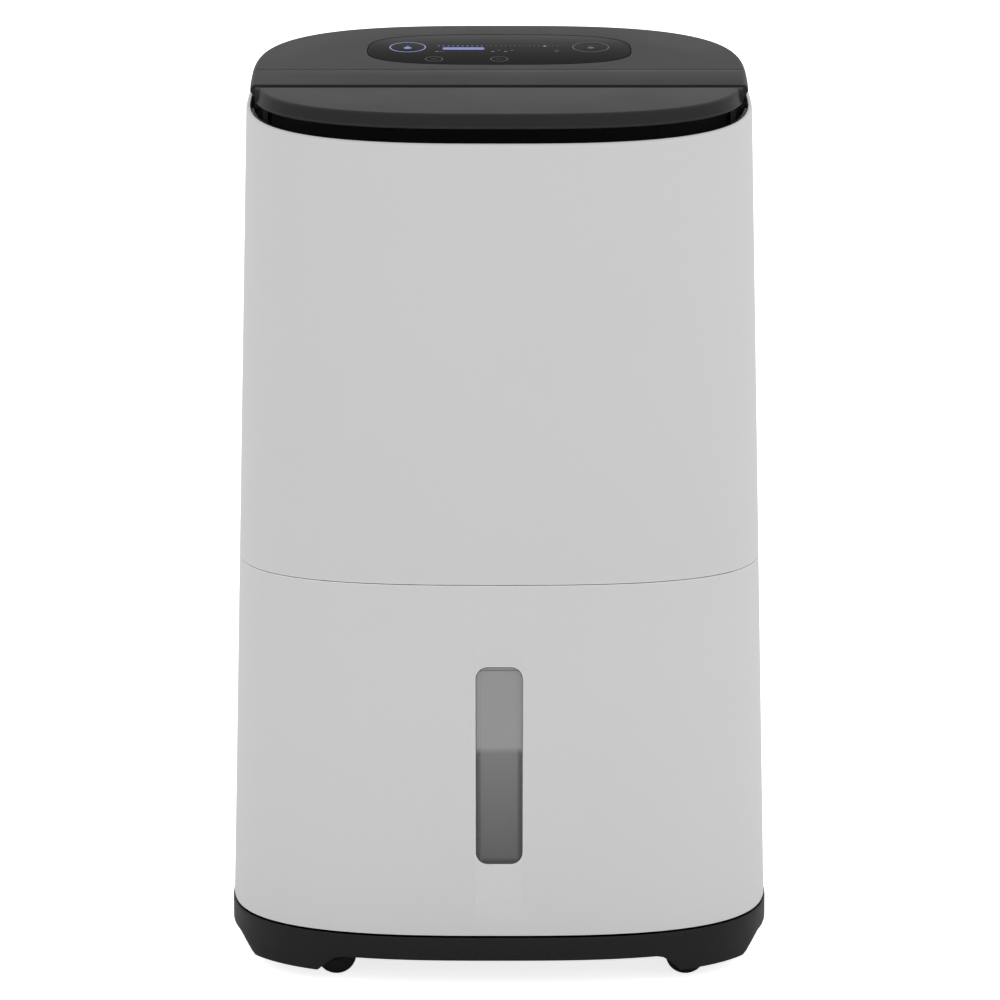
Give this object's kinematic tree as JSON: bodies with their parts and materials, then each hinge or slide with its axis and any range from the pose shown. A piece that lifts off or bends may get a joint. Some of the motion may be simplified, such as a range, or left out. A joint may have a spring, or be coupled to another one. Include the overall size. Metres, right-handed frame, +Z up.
{
  "type": "dehumidifier",
  "caption": "Free-standing compressor dehumidifier: tapered white casing on a dark castor base, sloping top with touch panel, lift-up handle, air flap and pull-out water tank.",
  "frame": {"origin": "on the floor under the middle of the machine", "axes": "+Z up, front with the tank towards -Y, +X to the right seen from the front"},
  "size_m": [0.338, 0.2456, 0.5695],
  "materials": {
    "white_plastic": "fine moulded satin, slightly warm light grey white",
    "grey_plastic": "fine moulded satin, dark grey",
    "black_plastic": "fine moulded satin, near black",
    "outlet_black": "matt black inside the air outlet",
    "panel_gloss": "smooth gloss touch panel over printed icons",
    "window_smoke": "clear tinted plastic window",
    "tank_clear": "translucent moulded tank plastic",
    "inner_plastic": "plain light grey inner moulding",
    "wheel_rubber": "matt dark castor tread and hub",
    "seal_rubber": "soft black rubber",
    "steel": "plain bright steel",
    "painted_steel": "black enamel on pressed steel",
    "coil_aluminium": "bright thin fins",
    "copper": "dull copper tube",
    "circuit_board": "green solder mask with dark parts",
    "filter_mesh": "fine woven nylon mesh",
    "float_foam": "closed foam float"
  },
  "bodies": {
    "chassis": {"front_casing": "white_plastic", "rear_casing": "white_plastic", "top_cover": "grey_plastic", "outlet_bezel": "grey_plastic", "base_tray": "black_plastic", "flap_motor": "black_plastic", "tank_switch": "black_plastic", "cord_gland": "black_plastic", "outlet_duct": "outlet_black", "outlet_vanes": "outlet_black", "control_panel": "panel_gloss", "chassis_frame": "inner_plastic", "drain_pan": "inner_plastic", "fan_scroll": "inner_plastic", "electrics_box": "inner_plastic", "handle_guide_left": "inner_plastic", "handle_guide_right": "inner_plastic", "drain_spigot": "inner_plastic", "compressor_foot_1": "seal_rubber", "compressor_foot_2": "seal_rubber", "compressor_foot_3": "seal_rubber", "flap_pin_left": "steel", "flap_pin_right": "steel", "fan_motor": "steel", "casing_screw_1": "steel", "casing_screw_2": "steel", "casing_screw_3": "steel", "casing_screw_4": "steel", "compressor": "painted_steel", "accumulator": "painted_steel", "evaporator": "coil_aluminium", "condenser": "coil_aluminium", "run_capacitor": "coil_aluminium", "discharge_pipe": "copper", "suction_pipe": "copper", "main_board": "circuit_board", "display_board": "circuit_board"},
    "flap": {"outlet_flap": "grey_plastic"},
    "handle": {"carry_handle": "grey_plastic"},
    "tank": {"tank_cover": "white_plastic", "tank_window": "window_smoke", "tank_bucket": "tank_clear", "tank_lid": "inner_plastic"},
    "float": {"tank_float": "float_foam"},
    "strap": {"tank_strap": "grey_plastic"},
    "intake": {"intake_grille": "white_plastic", "filter_frame": "grey_plastic", "filter_mesh": "filter_mesh"},
    "drain_plug": {"drain_cap": "seal_rubber"},
    "impeller": {"fan_wheel": "black_plastic"},
    "castor_front_left": {"castor_fork_front_left": "black_plastic"},
    "wheel_front_left": {"castor_wheel_front_left": "wheel_rubber"},
    "castor_front_right": {"castor_fork_front_right": "black_plastic"},
    "wheel_front_right": {"castor_wheel_front_right": "wheel_rubber"},
    "castor_rear_left": {"castor_fork_rear_left": "black_plastic"},
    "wheel_rear_left": {"castor_wheel_rear_left": "wheel_rubber"},
    "castor_rear_right": {"castor_fork_rear_right": "black_plastic"},
    "wheel_rear_right": {"castor_wheel_rear_right": "wheel_rubber"}
  },
  "joints": [
    {"name": "flap_tilt", "type": "hinge", "parent": "chassis", "child": "flap", "pos_m": [0, -0.0338, 0.53814], "axis": [-1, 0, 0], "range_deg": [-4.5, 40]},
    {"name": "handle_lift", "type": "slide", "parent": "chassis", "child": "handle", "axis": [0, 0, 1], "range_m": [0, 0.044]},
    {"name": "tank_pull", "type": "slide", "parent": "chassis", "child": "tank", "axis": [0, -1, 0], "range_m": [0, 0.27]},
    {"name": "float_lift", "type": "hinge", "parent": "tank", "child": "float", "pos_m": [0.078, -0.014, 0.222], "axis": [-1, 0, 0], "range_deg": [0, 12]},
    {"name": "strap_lift", "type": "hinge", "parent": "tank", "child": "strap", "pos_m": [0, -0.01, 0.2419], "axis": [-1, 0, 0], "range_deg": [0, 8]},
    {"name": "intake_pull", "type": "slide", "parent": "chassis", "child": "intake", "axis": [0, 1, 0], "range_m": [0, 0.1]},
    {"name": "drain_plug_pull", "type": "slide", "parent": "chassis", "child": "drain_plug", "axis": [0, 1, 0], "range_m": [0, 0.04]},
    {"name": "impeller_spin", "type": "hinge", "parent": "chassis", "child": "impeller", "pos_m": [0, -0.053, 0.394], "axis": [0, 1, 0], "continuous": true},
    {"name": "swivel_front_left", "type": "hinge", "parent": "chassis", "child": "castor_front_left", "pos_m": [-0.1083, -0.083, 0.03], "axis": [0, 0, 1], "continuous": true},
    {"name": "roll_front_left", "type": "hinge", "parent": "castor_front_left", "child": "wheel_front_left", "pos_m": [-0.101, -0.083, 0.01235], "axis": [0, 1, 0], "continuous": true},
    {"name": "swivel_front_right", "type": "hinge", "parent": "chassis", "child": "castor_front_right", "pos_m": [0.1083, -0.083, 0.03], "axis": [0, 0, 1], "continuous": true},
    {"name": "roll_front_right", "type": "hinge", "parent": "castor_front_right", "child": "wheel_front_right", "pos_m": [0.1156, -0.083, 0.01235], "axis": [0, 1, 0], "continuous": true},
    {"name": "swivel_rear_left", "type": "hinge", "parent": "chassis", "child": "castor_rear_left", "pos_m": [-0.1083, 0.083, 0.03], "axis": [0, 0, 1], "continuous": true},
    {"name": "roll_rear_left", "type": "hinge", "parent": "castor_rear_left", "child": "wheel_rear_left", "pos_m": [-0.101, 0.083, 0.01235], "axis": [0, 1, 0], "continuous": true},
    {"name": "swivel_rear_right", "type": "hinge", "parent": "chassis", "child": "castor_rear_right", "pos_m": [0.1083, 0.083, 0.03], "axis": [0, 0, 1], "continuous": true},
    {"name": "roll_rear_right", "type": "hinge", "parent": "castor_rear_right", "child": "wheel_rear_right", "pos_m": [0.1156, 0.083, 0.01235], "axis": [0, 1, 0], "continuous": true}
  ]
}
